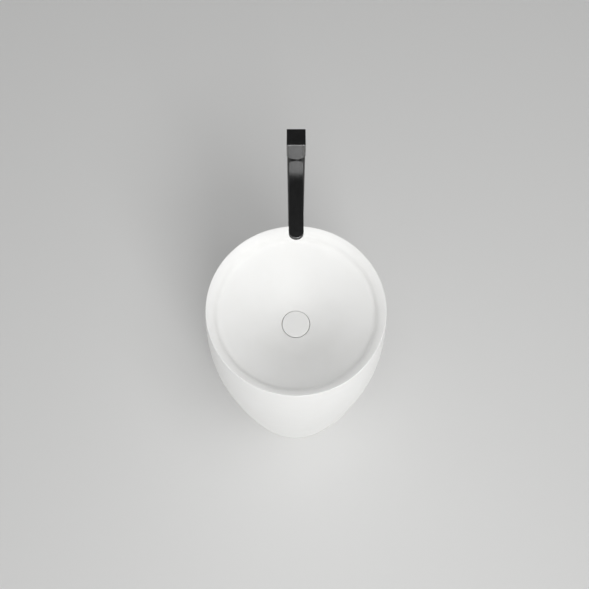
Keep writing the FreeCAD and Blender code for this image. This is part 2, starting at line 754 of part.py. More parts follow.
def column():
    """The tap's floor plate, its cover and the column on it."""
    plate = turned("plate_body", [
        ("0", "0"),
        ("plate_dia / 2", "0"),
        ("plate_dia / 2", "plate_thick"),
        ("spigot_r", "plate_thick"),
        ("spigot_r", "plate_top_z"),
        ("0", "plate_top_z"),
    ], y="tap_back")
    bolts = [
        rod(f"plate_bolt_{turn}", "bolt_hole / 2", "plate_thick", x=f"bolt_circle / 2 * cos({turn})",
            y=f"tap_back + bolt_circle / 2 * sin({turn})")
        for turn in BOLT_TURNS
    ]
    ports = []
    for side, x in (("hot", "-hose_offset"), ("cold", "hose_offset")):
        ports.append(rod(f"plate_{side}_inlet", "inlet_dia / 2", "inlet_depth", x=x, y="tap_back"))
        ports.append(rod(f"plate_{side}_bore", "nipple_dia / 2", "plate_top_z", x=x, y="tap_back"))
    screw_r = "set_screw_dia / 2"
    screw_start = "column_r - set_screw_sink - set_screw_length"
    screw_hole = rod("set_screw_hole", f"{screw_r} + screw_fit", "column_r", y=f"tap_back + {screw_start}",
                     z="set_screw_z", turn=ALONG_Y)
    keep("tap_base_plate", cut("plate_cut", plate, *bolts, *ports, screw_hole))
    tube = ring("column_body", "column_in_r", "column_r", "plate_thick", "head_z", y="tap_back")
    keep("column_tube", cut("column_cut", tube, screw_hole))
    keep("column_set_screw", rod("set_screw", screw_r, "set_screw_length", y=f"tap_back + {screw_start}",
                                 z="set_screw_z", turn=ALONG_Y))
    shoulder = "rosette_r - rosette_slope"
    hole = "column_r + thread_gap"
    keep("floor_rosette", turned("rosette_body", [
        ("rosette_r - rosette_wall", "0"),
        ("rosette_r", "0"),
        ("rosette_r", "rosette_edge"),
        (shoulder, "rosette_height"),
        (hole, "rosette_height"),
        (hole, "rosette_height - rosette_wall"),
        (f"{shoulder} - rosette_wall", "rosette_height - rosette_wall"),
        ("rosette_r - rosette_wall", "rosette_edge"),
    ], y="tap_back"))


def spout():
    """The head on the column, its flat arm to the front and the aerator under the tip."""
    head = turned("head_body", [
        ("0", "head_end_z"),
        ("spigot_r", "head_end_z"),
        ("spigot_r", "head_z"),
        ("column_r", "head_z"),
        ("column_r", "spout_top"),
        ("0", "spout_top"),
    ], y="tap_back")
    side = padded("arm_side", [
        ("tip_y", "spout_top - tip_thick"),
        ("root_y", "spout_top - root_thick"),
        ("root_y", "spout_top"),
        ("tip_y", "spout_top"),
    ], "spout_width")
    plan = joined("arm_plan",
                  block("arm_bar", "spout_width", "root_y - aerator_y", "root_thick", x="-spout_width / 2",
                        y="aerator_y", z="spout_top - root_thick"),
                  rod("arm_tip", "spout_width / 2", "root_thick", y="aerator_y", z="spout_top - root_thick"))
    arm = common("arm", side, plan)
    chamber = rod("chamber", "chamber_r", "spout_top - chamber_z", y="tap_back", z="chamber_z")
    nipples = [
        rod(f"head_{name}_bore", "nipple_dia / 2", "head_floor", x=x, y="tap_back", z="head_end_z")
        for name, x in (("hot", "-hose_offset"), ("cold", "hose_offset"))
    ]
    aerator_bore = rod("aerator_bore", "aerator_r", "aerator_top_z - (spout_top - root_thick)", y="aerator_y",
                       z="spout_top - root_thick")
    keep("spout", cut("spout_cut", joined("spout_solid", head, arm),
                      chamber, *nipples, waterway(), aerator_bore))
    thread = "aerator_r - thread_gap"
    keep("aerator_ring", turned("aerator_ring_body", [
        ("aerator_r - 2 * aerator_wall", "aerator_z"),
        (thread, "aerator_z"),
        (thread, "aerator_seal_z"),
        (f"{thread} - aerator_wall", "aerator_seal_z"),
        (f"{thread} - aerator_wall", "aerator_z + aerator_lip"),
        ("aerator_r - 2 * aerator_wall", "aerator_z + aerator_lip"),
    ], y="aerator_y"))
    keep("aerator_insert", ring("aerator_insert_body", "0", f"{thread} - aerator_wall - insert_gap",
                                "aerator_z + aerator_lip", "aerator_seal_z - insert_gap", y="aerator_y"))
    keep("aerator_seal", ring("aerator_seal_body", "aerator_r - 2 * aerator_wall", thread,
                              "aerator_seal_z", "aerator_top_z", y="aerator_y"))


def waterway():
    """The drilled way from the cartridge chamber, rising a little to the aerator."""
    start = "spout_top - root_thick / 2"
    run = "(tap_back - chamber_r - aerator_y)"
    rise = "((root_thick - tip_thick) / 2)"
    way = rod("waterway", "waterway_dia / 2", f"sqrt({run} ^ 2 + {rise} ^ 2) + waterway_dia / 2",
              y="tap_back - chamber_r + waterway_dia / 2", z=start, turn=Rotation(X_AXIS, 90))
    way.setExpression("Placement.Rotation.Angle", f"90 deg - atan({formula(rise)} / {formula(run)})")
    return way


def cartridge():
    """The mixer cartridge in the head, its port seals and the nut that holds it down."""
    shaft = "rotor_shaft / 2 + running_fit"
    keep("mixer_cartridge", turned("cartridge_body", [
        ("0", "cartridge_z"),
        ("cartridge_r", "cartridge_z"),
        ("cartridge_r", "cartridge_top_z"),
        ("neck_in_r", "cartridge_top_z"),
        ("neck_in_r", "cartridge_neck_z"),
        (shaft, "cartridge_neck_z"),
        (shaft, "rotor_z - rotor_shaft_depth - rotor_lift"),
        ("0", "rotor_z - rotor_shaft_depth - rotor_lift"),
    ], y="tap_back"))
    seals = []
    ports = (("hot", "-hose_offset", "0"), ("cold", "hose_offset", "0"), ("out", "0", "hose_offset"))
    for name, x, y in ports:
        seal = doc.addObject("Part::Torus", f"port_seal_{name}")
        bind(seal, "Radius1", "port_seal_dia / 2 + port_seal_wire / 2")
        bind(seal, "Radius2", "port_seal_wire / 2")
        seals.append(place(seal, x=x, y=f"tap_back + {y}", z="chamber_z + cartridge_gap / 2"))
    group = doc.addObject("Part::Compound", "port_seals")
    group.Links = seals
    keep("cartridge_seals", group)
    keep("cartridge_nut", ring("cartridge_nut_body", "neck_in_r + slip_fit", "chamber_r - thread_gap",
                               "cartridge_top_z", "cartridge_top_z + cartridge_nut_thick", y="tap_back"))


def lever():
    """The rotor that turns in the cartridge, and the lever that tips about the pin in its post."""
    shaft_r = "rotor_shaft / 2"
    turned_rotor = turned("rotor_body", [
        ("0", "rotor_z - rotor_shaft_depth"),
        (shaft_r, "rotor_z - rotor_shaft_depth"),
        (shaft_r, "rotor_z"),
        ("rotor_r", "rotor_z"),
        ("rotor_r", "rotor_z + rotor_disc_thick"),
        ("post_r", "rotor_z + rotor_disc_thick"),
        ("post_r", "post_top_z"),
        ("0", "post_top_z"),
    ], y="tap_back")
    pin_r = "tilt_pin_dia / 2"
    pin_hole = rod("pin_hole", pin_r, "tilt_pin_length", x="-tilt_pin_length / 2", y="tap_back", z="pivot_z",
                   turn=ALONG_X)
    keep("lever_rotor", cut("rotor_cut", turned_rotor, pin_hole))
    keep("tilt_pin", rod("tilt_pin_body", pin_r, "tilt_pin_length", x="-tilt_pin_length / 2", y="tap_back",
                         z="pivot_z", turn=ALONG_X))
    hub = turned("hub_body", [
        ("0", "dome_z", "dome_radius", 1),
        ("hub_r", "hub_foot_z"),
        ("hub_r", "hub_top_z"),
        ("0", "hub_top_z"),
    ], y="tap_back")
    slot = block("hub_slot", "post_dia + 2 * slot_play", "slot_front + slot_back", "slot_top_z - dome_z",
                 x="-post_r - slot_play", y="tap_back - slot_front", z="dome_z")
    bearing = rod("hub_bearing", f"{pin_r} + running_fit", "2 * hub_r", x="-hub_r", y="tap_back", z="pivot_z",
                  turn=ALONG_X)
    keep("lever_hub", cut("hub_cut", hub, slot, bearing))
    socket = rod("lever_socket", "hub_r + lever_fit", "hub_top_z - dome_z + lever_fit",
                 y="tap_back", z="dome_z")
    grub_start = "tap_back + hub_r + lever_fit"
    grub_hole = rod("grub_hole", "grub_dia / 2 + screw_fit", "lever_depth",
                    y=grub_start, z="grub_z", turn=ALONG_Y)
    keep("lever", cut("lever_cut", lever_block(), socket, slot, grub_hole))
    grub_length = "lever_depth / 2 - hub_r - lever_fit - grub_sink"
    keep("lever_grub_screw", rod("grub_screw", "grub_dia / 2", grub_length,
                                 y=grub_start, z="grub_z", turn=ALONG_Y))


def lever_block():
    """The lever's outside: a square block, rounded below by the dome."""
    square = block("lever_square", "lever_width", "lever_depth", "lever_top_z - dome_z",
                   x="-lever_width / 2", y="tap_back - lever_depth / 2", z="dome_z")
    dome = turned("lever_dome", [
        ("0", "dome_z", "dome_radius", 1),
        ("dome_radius", "pivot_z"),
        ("dome_radius", "lever_top_z"),
        ("0", "lever_top_z"),
    ], y="tap_back")
    return common("lever_outside", square, dome)


def hoses():
    """The two supply hoses in the column, with a nipple and ferrule at each end."""
    fittings = []
    for side, x in (("hot", "-hose_offset"), ("cold", "hose_offset")):
        keep(f"{side}_hose", ring(f"{side}_hose_body", "hose_bore / 2", "hose_dia / 2",
                                  "plate_top_z + ferrule_wall", "head_end_z - ferrule_wall",
                                  x=x, y="tap_back"))
        for end, foot, turn in (("low", "plate_top_z", UPRIGHT), ("high", "head_end_z", UPSIDE_DOWN)):
            socket = "hose_dia / 2 + thread_gap"
            nipple = "nipple_dia / 2 - running_fit"
            fittings.append(turned(f"{side}_{end}_fitting", [
                ("nipple_bore / 2", "0"),
                ("nipple_bore / 2", "ferrule_wall"),
                (socket, "ferrule_wall"),
                (socket, "ferrule_length"),
                ("ferrule_r", "ferrule_length"),
                ("ferrule_r", "0"),
                (nipple, "0"),
                (nipple, "-nipple_depth"),
                ("nipple_bore / 2", "-nipple_depth"),
            ], x=x, y="tap_back", z=foot, turn=turn))
    group = doc.addObject("Part::Compound", "fittings")
    group.Links = fittings
    keep("hose_fittings", group)


def write():
    """Check every object and every sub-part, then write one file for each sub-part."""
    doc.recompute()
    for thing in doc.Objects:
        if "Invalid" in thing.State or "Error" in thing.State:
            raise RuntimeError(f"{thing.Name} failed: {thing.State}")
    for label, thing in parts.items():
        if thing.Shape.isNull() or not thing.Shape.isValid() or not thing.Shape.Solids:
            raise RuntimeError(f"{label} has no sound solid")
    os.makedirs("parts", exist_ok=True)
    for label, thing in parts.items():
        thing.Shape.exportStep(os.path.join("parts", label + ".step"))
    print(len(parts), "sub-parts written")


basin()
plug()
click_mechanism()
waste()
trap()
column()
spout()
cartridge()
lever()
hoses()
write()
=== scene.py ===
"""Looks of a freestanding washbasin and of the tap that stands on the floor behind it.

The basin is white cast mineral, sanded to a satin skin, and the tap is brass plated in black chrome.
Shapes are written in millimetres in the part's own frame, +Z up and +Y to the back, and are stored in metres.
"""

import json
import math

import bmesh
import bpy
import numpy as np
from mathutils import Euler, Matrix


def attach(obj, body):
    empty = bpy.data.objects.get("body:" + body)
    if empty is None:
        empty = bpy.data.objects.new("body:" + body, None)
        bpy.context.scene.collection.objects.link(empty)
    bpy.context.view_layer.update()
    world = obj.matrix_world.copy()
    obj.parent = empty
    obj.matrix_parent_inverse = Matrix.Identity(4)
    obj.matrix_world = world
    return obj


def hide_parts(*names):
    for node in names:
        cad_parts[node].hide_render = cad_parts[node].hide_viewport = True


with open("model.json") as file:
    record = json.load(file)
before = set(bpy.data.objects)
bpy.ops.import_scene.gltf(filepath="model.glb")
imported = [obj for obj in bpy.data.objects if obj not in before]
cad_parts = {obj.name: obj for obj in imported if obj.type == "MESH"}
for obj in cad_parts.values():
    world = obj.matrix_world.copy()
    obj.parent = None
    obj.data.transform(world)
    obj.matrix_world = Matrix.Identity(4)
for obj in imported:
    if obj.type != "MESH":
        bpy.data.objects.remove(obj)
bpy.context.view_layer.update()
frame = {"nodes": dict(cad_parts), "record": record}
nodes = frame["nodes"]

MM = 0.001
FULL_TURN = 2 * math.pi

# Basin, in millimetres and degrees.
RIM_R = 240
RIM_Z = 850
BELLY_BULGE = 12.3
BELLY_DROP = 214
TAPER_START = 146
TAPER_RADIUS = 6540
WALL = 15
BASE_Z = 2
SEAM_Z = 814
LIP_RADIUS = 40
LIP_START = 22
LIP_SLOPE = 76
LIP_FILLET = 30
CONE_SLOPE = 34
DISH_R = 110
EDGE_Z = 711
RECESS_R = 40
RECESS_Z = 699
DRAIN_R = 23
BOSS_R = 46
BOSS_Z = 685.5
BOWL_WALL = 13
BOWL_FIT = 4
RIM_ROUND = 1.4
DRAIN_ROUND = 0.9

# Drain cover, in millimetres.
COVER_R = 38.5
COVER_Z = 708
COVER_TOP_Z = 714
COVER_CROWN = 0.5
COVER_ROUND = 1.2
COVER_FOOT_ROUND = 0.4

# Tap, in millimetres. A key is half the width across the flats of a screw's hexagon socket.
TAP_Y = 317
COLUMN_R = 22.5
COLUMN_IN_R = 20.5
COLUMN_Z = 8
COLUMN_TOP_Z = 1053
SEAM_ROUND = 0.5
COLLAR_INSET = 0.01
COLLAR_OVERLAP = 2
SCREW_R = 2.5
SCREW_Z = 24
SCREW_Y = (331.2, 339.2)
SCREW_KEY = 1.25
ROSETTE_R = 50
ROSETTE_Z = 14
ROSETTE_EDGE = 2.5
ROSETTE_SLOPE = 8
ROSETTE_WALL = 1.5
ROSETTE_FIT = 0.1
ROSETTE_ROUNDS = (0.2, 0.8, 1.6, 0.3)
SPOUT_TOP = 1106
SPOUT_R = 18
SPOUT_FILLET = 5
SPOUT_EDGE = 0.8
SPOUT_FLANK = 0.4
TIP_Y = 82
ROOT_Y = 305.75
TIP_THICK = 12
ROOT_THICK = 26
CHAMBER_R = 18.48
CHAMBER_EDGE = 0.4
CHAMBER_RIM = 1
LEVER_WIDTH = 46
LEVER_DEPTH = 46
LEVER_TOP_Z = 1174
LEVER_EDGE = 1.0
LEVER_FLANK = 0.3
LEVER_CORNER = 1.3
LEVER_FOOT_EDGE = 0.45
PIVOT_Z = 1135.04
DOME_RADIUS = 34
SOCKET_R = 13.1
SLOT_HALF = 6.5
SLOT_BACK = 19.26
SLOT_TOP_Z = 1143.23
SOCKET_TOP_Z = 1148.83
GRUB_R = 2
GRUB_Z = 1145.98
GRUB_Y = (330.1, 338.5)
GRUB_KEY = 1.0
GRUB_WINDOW = 5
SCREW_FIT = 0.05
SCREW_CHAMFER = 0.3

# Fineness: columns round each turned piece, then points along each stretch of an outline.
BASIN_STEPS = 320
COVER_STEPS = 128
COLUMN_STEPS = 256
ROSETTE_STEPS = 192
SCREW_STEPS = 72
LIP_STEPS = 40
FILLET_STEPS = 24
CONE_STEPS = 24
DISH_STEPS = 40
UNDER_STEPS = 30
RIM_STEPS = 14
OUTSIDE_STEPS = 90
INSIDE_STEPS = 40
CROWN_STEPS = 16
HEAD_STEPS = 90
ARM_STEPS = 24
CORNER_STEPS = 10
TIP_STEPS = 60
DOME_STEPS = 9
CHAMBER_STEPS = 4

# A drilled hole's upper and lower arcs end this many degrees from level, and the window for the column's
# screw takes this many grid columns to each side.
HOLE_MARGIN = 20
SCREW_COLUMNS = 6

# Points within this many metres are welded, edges that turn by more than these degrees stay crisp, and the
# last value keeps divisions off zero.
WELD = 1e-7
SHARP_ANGLE = 40
TINY = 1e-6

# Camera, in the photograph's pixels, the sensor's millimetres, degrees and metres.
PHOTO_WIDTH = 589
FOCAL_PIXELS = 760
SENSOR_WIDTH = 36
PITCH = 68.945
CAMERA_PLACE = (-0.004, -0.6922, 2.7427)

# Light, in degrees, metres and watts. The studio's walls are pairs of degrees above the floor and brightness
# there, and the two shares scale that brightness at the front and at the back.
KEY_AZIMUTH = 18
KEY_RISE = 46
KEY_AIM = (0, 0.2, 0.5)
KEY_FAR = 9
KEY_SIZE = 3.2
KEY_POWER = 250
FRONT_PLACE = (0.5, -0.9, 4.9)
FRONT_AIM = (0, 0.1, 0.9)
FRONT_SIZE = 2.4
FRONT_POWER = 76
STUDIO_WALLS = ((5, 0.95), (13, 1.1), (26, 1.1), (42, 0.03))
FRONT_SHARE = 1.25
BACK_SHARE = 0.64
FLOOR_HALF = 60


def linear(code):
    """An sRGB hex colour as linear RGBA: c / 12.92 to 0.04045, and above it ((c + 0.055) / 1.055) ^ 2.4."""
    channels = np.array([int(code[place:place + 2], 16) for place in (1, 3, 5)]) / 255
    low = channels / 12.92
    high = ((channels + 0.055) / 1.055) ** 2.4
    return (*np.where(channels <= 0.04045, low, high).tolist(), 1.0)


# Shapes


def arc(centre, radius, start, end, steps):
    """Points on a circle: the centre plus radius times (cos a, sin a), a from start to end in degrees."""
    angles = np.radians(np.linspace(start, end, steps))
    return np.column_stack([centre[0] + radius * np.cos(angles), centre[1] + radius * np.sin(angles)])


def rounded(corners, radii, steps=7):
    """A line through corners, with each corner between its ends rounded to its radius.

    Each rounding is an arc whose tangents start at radius / tan(half the corner's angle) from the corner.
    """
    corners = np.asarray(corners, float)
    made = [corners[:1]]
    for before, corner, after, radius in zip(corners, corners[1:], corners[2:], radii):
        back = (before - corner) / np.linalg.norm(before - corner)
        on = (after - corner) / np.linalg.norm(after - corner)
        half = math.acos(np.clip(back @ on, -1, 1)) / 2
        middle = (back + on) / np.linalg.norm(back + on)
        centre = corner + middle * radius / math.sin(half)
        turns = np.linspace(-1, 1, steps)[:, None] * (math.pi / 2 - half)
        across = (on - back) / np.linalg.norm(on - back)
        made.append(centre - radius * np.cos(turns) * middle + radius * np.sin(turns) * across)
    made.append(corners[-1:])
    return np.vstack(made)


def lathe(profile, steps, axis_y=0.0):
    """A grid of points: each (r, z) of the profile goes round the axis at y, as (r cos a, y + r sin a, z)."""
    angles = np.linspace(0, FULL_TURN, steps, endpoint=False)
    radius, height = profile[:, :1], profile[:, 1:]
    return np.stack([radius * np.cos(angles), axis_y + radius * np.sin(angles),
                     np.broadcast_to(height, (len(profile), steps))], axis=-1)


def level(plan, height):
    """One row of points: a plan's (x, y) at a height, or at one height for each point."""
    return np.column_stack([plan, np.broadcast_to(height, len(plan))])


def drilled(grid, upper, lower, columns, mouth_y, radius, height, floor_y):
    """Rows that make a round hole of a window in a grid's back: edge, mouth, floor's edge, floor's middle.

    The window lies between two rows and over a run of columns. The hole's circle is (r cos a, r sin a) in x
    and z, and its upper and lower arcs meet the window's upper and lower edges.
    """
    edge = np.vstack([grid[upper, columns], grid[lower, columns][::-1]])
    count = len(edge) // 2
    half = np.linspace(HOLE_MARGIN, 180 - HOLE_MARGIN, count)
    angles = np.radians(np.concatenate([half, 180 + half]))
    x, z = radius * np.cos(angles), height + radius * np.sin(angles)
    floor = np.column_stack([x, np.full_like(x, floor_y), z])
    mouth = np.column_stack([x, mouth_y(x), z])
    middle = np.broadcast_to((0, floor_y, height), edge.shape)
    return np.stack([edge, mouth, floor, middle])


def piece(name, grids, body, replaced, slot, closed=False, window=None):
    """A mesh over grids in millimetres, each closed round its columns, and the first round its rows if asked.

    A row that shrinks to one point becomes a pole. The window, a row and a run of columns, is left out of the
    first grid. The piece takes its slot's finish, stands for the replaced nodes and rides on the body.
    """
    points, quads, start = [], [], 0
    for place, grid in enumerate(grids):
        rows, columns = grid.shape[:2]
        index = start + np.arange(rows * columns).reshape(rows, columns)
        if closed and place == 0:
            index = np.vstack([index, index[:1]])
        beside = np.roll(index, -1, axis=1)
        cells = np.stack([index[:-1], beside[:-1], beside[1:], index[1:]], axis=-1)
        kept = np.ones(cells.shape[:2], bool)
        if window and place == 0:
            kept[window[0], window[1].start:window[1].stop - 1] = False
        points.append(grid.reshape(-1, 3) * MM)
        quads.append(cells[kept])
        start += rows * columns
    mesh = bpy.data.meshes.new(name)
    mesh.from_pydata(np.vstack(points).tolist(), [], np.vstack(quads).tolist())
    welded = bmesh.new()
    welded.from_mesh(mesh)
    bmesh.ops.remove_doubles(welded, verts=welded.verts, dist=WELD)
    bmesh.ops.recalc_face_normals(welded, faces=welded.faces)
    welded.to_mesh(mesh)
    welded.free()
    mesh.shade_smooth()
    mesh.set_sharp_from_angle(angle=math.radians(SHARP_ANGLE))
    made = bpy.data.objects.new(name, mesh)
    bpy.context.scene.collection.objects.link(made)
    made.data.materials.append(finishes[slot])
    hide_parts(*replaced)
    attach(made, body)


def basin_outside(low, high, inset, steps):
    """The outside profile between two heights, moved in by inset: a barrel arc and a flatter arc below it.

    Each is its centre's r plus sqrt(R ^ 2 - (z - its centre's z) ^ 2). The barrel arc passes the belly
    upright, and the two arcs share a tangent at their join.
    """
    barrel = (BELLY_DROP ** 2 + BELLY_BULGE ** 2) / (2 * BELLY_BULGE)
    belly = np.array([RIM_R + BELLY_BULGE - barrel, RIM_Z - BELLY_DROP])
    lean = math.asin(TAPER_START / barrel)
    taper = belly - (TAPER_RADIUS - barrel) * np.array([math.cos(lean), -math.sin(lean)])
    heights = np.linspace(low, high, steps)
    upper = belly[0] + np.sqrt((barrel - inset) ** 2 - (heights - belly[1]) ** 2)
    lower = taper[0] + np.sqrt((TAPER_RADIUS - inset) ** 2 - (heights - taper[1]) ** 2)
    join = belly[1] - (barrel - inset) * math.sin(lean)
    return np.column_stack([np.where(heights > join, upper, lower), heights])


def bowl_inside():
    """The inside profile from rim to drain: the lip's arc, a hollow fillet, a cone and the dish's wide arc.

    The dish's radius is (run ^ 2 + fall ^ 2) / (2 (run sin slope - fall cos slope)), so that it leaves the
    cone smoothly. The dish's centre and radius are given too.
    """
    start, slope, cone = (math.radians(angle) for angle in (LIP_START, LIP_SLOPE, CONE_SLOPE))
    lip = np.array([RIM_R + LIP_RADIUS * math.sin(start), RIM_Z - LIP_RADIUS * math.cos(start)])
    lip_end = lip + LIP_RADIUS * np.array([-math.sin(slope), math.cos(slope)])
    hollow = lip_end + LIP_FILLET * np.array([-math.sin(slope), math.cos(slope)])
    cone_top = hollow + LIP_FILLET * np.array([math.sin(cone), -math.cos(cone)])
    dish = np.array([DISH_R, cone_top[1] - (cone_top[0] - DISH_R) * math.tan(cone)])
    run, fall = dish - np.array([RECESS_R, EDGE_Z])
    radius = (run ** 2 + fall ** 2) / (2 * (run * math.sin(cone) - fall * math.cos(cone)))
    middle = dish + radius * np.array([-math.sin(cone), math.cos(cone)])
    dish_end = math.degrees(math.atan2(EDGE_Z - middle[1], RECESS_R - middle[0]))
    inside = np.vstack([
        arc(lip, LIP_RADIUS, 90 + LIP_START, 90 + LIP_SLOPE, LIP_STEPS)[:-1],
        arc(hollow, LIP_FILLET, LIP_SLOPE - 90, CONE_SLOPE - 90, FILLET_STEPS)[:-1],
        np.linspace(cone_top, dish, CONE_STEPS)[:-1],
        arc(middle, radius, CONE_SLOPE - 90, dish_end, DISH_STEPS),
    ])
    return inside, middle, radius


def bowl_profile():
    """The bowl's closed profile: up the outside, over the rim, down the dish, through the drain, back below.

    The underside is the dish's arc and the cone, one bowl wall further out.
    """
    inside, middle, radius = bowl_inside()
    below = radius + BOWL_WALL
    spigot_r = basin_outside(SEAM_Z, RIM_Z, WALL, 2)[0, 0] - BOWL_FIT
    boss_turn = -math.degrees(math.acos((BOSS_R - middle[0]) / below))
    under = arc(middle, below, boss_turn, CONE_SLOPE - 90, UNDER_STEPS)
    spigot_z = under[-1, 1] + (spigot_r - under[-1, 0]) * math.tan(math.radians(CONE_SLOPE))
    outside = basin_outside(SEAM_Z, RIM_Z, 0, RIM_STEPS)
    rim = rounded([outside[-2], outside[-1], inside[2]], [RIM_ROUND])[1:-1]
    drain = rounded([inside[-3], inside[-1], (RECESS_R, RECESS_Z)], [DRAIN_ROUND])[1:-1]
    hidden = [(RECESS_R, RECESS_Z), (DRAIN_R, RECESS_Z), (DRAIN_R, BOSS_Z), (BOSS_R, BOSS_Z)]
    return np.vstack([
        outside[:-1], rim, inside[2:-2], drain, hidden, under, [(spigot_r, spigot_z), (spigot_r, SEAM_Z)],
    ])


def pedestal_profile():
    """The pedestal's closed profile: up the outside to the seam and down the inside, one wall apart."""
    outside = basin_outside(BASE_Z, SEAM_Z, 0, OUTSIDE_STEPS)
    inside = basin_outside(BASE_Z, SEAM_Z, WALL, INSIDE_STEPS)[::-1]
    foot = rounded([inside[-1], outside[0], outside[1]], [RIM_ROUND])[1:-1]
    return np.vstack([foot, outside[1:], inside])


def cover_profile():
    """The drain cover's profile: flat below, a rounded edge and a top crowned as a slight parabola."""
    brim = COVER_TOP_Z - COVER_CROWN
    corners = [(0, COVER_Z), (COVER_R, COVER_Z), (COVER_R, brim), (0, brim)]
    edge = rounded(corners, [COVER_FOOT_ROUND, COVER_ROUND])[:-1]
    radius = np.linspace(edge[-1, 0], 0, CROWN_STEPS)
    crown = brim + COVER_CROWN * (1 - (radius / edge[-1, 0]) ** 2)
    return np.vstack([edge[:-1], np.column_stack([radius, crown])])


def column_profile():
    """The column's closed profile: up the outside, with rows below and above the screw, to a rounded edge."""
    reach = 2 * SCREW_R
    corners = [(COLUMN_R, SCREW_Z + reach), (COLUMN_R, COLUMN_TOP_Z), (COLUMN_IN_R, COLUMN_TOP_Z)]
    top = rounded(corners, [SEAM_ROUND])
    return np.vstack([[(COLUMN_IN_R, COLUMN_Z), (COLUMN_R, COLUMN_Z), (COLUMN_R, SCREW_Z - reach)], top])


def collar_profile():
    """The head's lower ring, closed: a rounded edge on the column's top, and an end inside the plate."""
    skin = COLUMN_R - COLLAR_INSET
    top = SPOUT_TOP - ROOT_THICK + COLLAR_OVERLAP
    outside = rounded([(CHAMBER_R, COLUMN_TOP_Z), (skin, COLUMN_TOP_Z), (skin, top)], [SEAM_ROUND])
    return np.vstack([outside, [(CHAMBER_R, top)]])


def rosette_profile():
    """The floor cover's closed profile, one wall thick: a short upright rim, a slope and a flat top."""
    shoulder = ROSETTE_R - ROSETTE_SLOPE
    hole = COLUMN_R + ROSETTE_FIT
    top = rounded([
        (ROSETTE_R - ROSETTE_WALL, 0), (ROSETTE_R, 0), (ROSETTE_R, ROSETTE_EDGE), (shoulder, ROSETTE_Z),
        (hole, ROSETTE_Z), (hole, ROSETTE_Z - ROSETTE_WALL),
    ], ROSETTE_ROUNDS)
    under = [(shoulder - ROSETTE_WALL, ROSETTE_Z - ROSETTE_WALL), (ROSETTE_R - ROSETTE_WALL, ROSETTE_EDGE)]
    return np.vstack([top, under])


def spout_outline():
    """Points round the spout's plan, anticlockwise: round head, fillets to straight sides, round tip.

    Each fillet's centre lies its radius outside the head's circle and outside the straight side.
    """
    across = SPOUT_R + SPOUT_FILLET
    back = math.sqrt((COLUMN_R + SPOUT_FILLET) ** 2 - across ** 2)
    lean = math.degrees(math.atan2(back, across))
    tip_y = TIP_Y + SPOUT_R
    side_y = np.linspace(TAP_Y - back, tip_y, ARM_STEPS)[1:-1]
    side = np.column_stack([np.full_like(side_y, SPOUT_R), side_y])
    return np.vstack([
        arc((0, TAP_Y), COLUMN_R, -lean, 180 + lean, HEAD_STEPS)[:-1],
        arc((-across, TAP_Y - back), SPOUT_FILLET, lean, 0, CORNER_STEPS),
        side * (-1, 1),
        arc((0, tip_y), SPOUT_R, 180, 360, TIP_STEPS),
        side[::-1],
        arc((across, TAP_Y - back), SPOUT_FILLET, 180, 180 - lean, CORNER_STEPS),
    ])


def bevel(edge, steps=6):
    """Steps of a rounded edge, in from the side and down from the face: e (1 - sin a) and e (1 - cos a)."""
    turn = np.radians(np.linspace(0, 90, steps))
    return np.column_stack([edge * (1 - np.sin(turn)), edge * (1 - np.cos(turn))])


def spout_plate():
    """The spout's closed grid: up the chamber, out over the flat top, down the side and back underneath.

    Rows are the outline moved in along its normals. The underside is a plane that rises evenly to the tip.
    """
    outline = spout_outline()
    run = np.roll(outline, -1, axis=0) - np.roll(outline, 1, axis=0)
    normal = np.column_stack([run[:, 1], -run[:, 0]]) / np.linalg.norm(run, axis=1, keepdims=True)
    spoke = outline - (0, TAP_Y)
    spoke = spoke / np.linalg.norm(spoke, axis=1, keepdims=True)

    def chamber(radius):
        return (0, TAP_Y) + radius * spoke

    def inset(depth):
        return outline - depth * normal

    def under(plan):
        share = (plan[:, 1] - TIP_Y) / (ROOT_Y - TIP_Y)
        return SPOUT_TOP - TIP_THICK - (ROOT_THICK - TIP_THICK) * share

    wall = chamber(CHAMBER_R)
    lip = bevel(CHAMBER_EDGE, CHAMBER_STEPS)
    edge = bevel(SPOUT_EDGE)
    past_edge = SPOUT_EDGE + SPOUT_FLANK
    face = inset(past_edge)
    rows = [level(wall, SPOUT_TOP - ROOT_THICK / 2), level(wall, SPOUT_TOP - CHAMBER_RIM)]
    rows += [level(chamber(CHAMBER_R + into), SPOUT_TOP - down) for into, down in lip[::-1]]
    rows += [level(chamber(CHAMBER_R + CHAMBER_RIM), SPOUT_TOP), level(face, SPOUT_TOP)]
    rows += [level(inset(into), SPOUT_TOP - down) for into, down in edge]
    rows += [level(outline, SPOUT_TOP - past_edge), level(outline, under(outline) + past_edge)]
    rows += [level(inset(into), under(inset(into)) + down) for into, down in edge[::-1]]
    rows += [level(face, under(face)), level(wall, under(wall))]
    return np.stack(rows)


def rounded_square(width, depth, radius, side_steps=24, corner_steps=7):
    """Points round a rectangle with rounded corners, anticlockwise from the end of its right side."""
    half = np.array([width, depth]) / 2 - radius
    signs = np.array([(1, 1), (-1, 1), (-1, -1), (1, -1)])
    corners = [
        arc(sign * half, radius, 90 * turn, 90 * turn + 90, corner_steps)
        for turn, sign in enumerate(signs)
    ]
    share = np.linspace(0, 1, side_steps)[1:-1, None]
    rounds = []
    for here, after in zip(corners, corners[1:] + corners[:1]):
        rounds += [here, here[-1] + (after[0] - here[-1]) * share]
    return np.vstack(rounds)


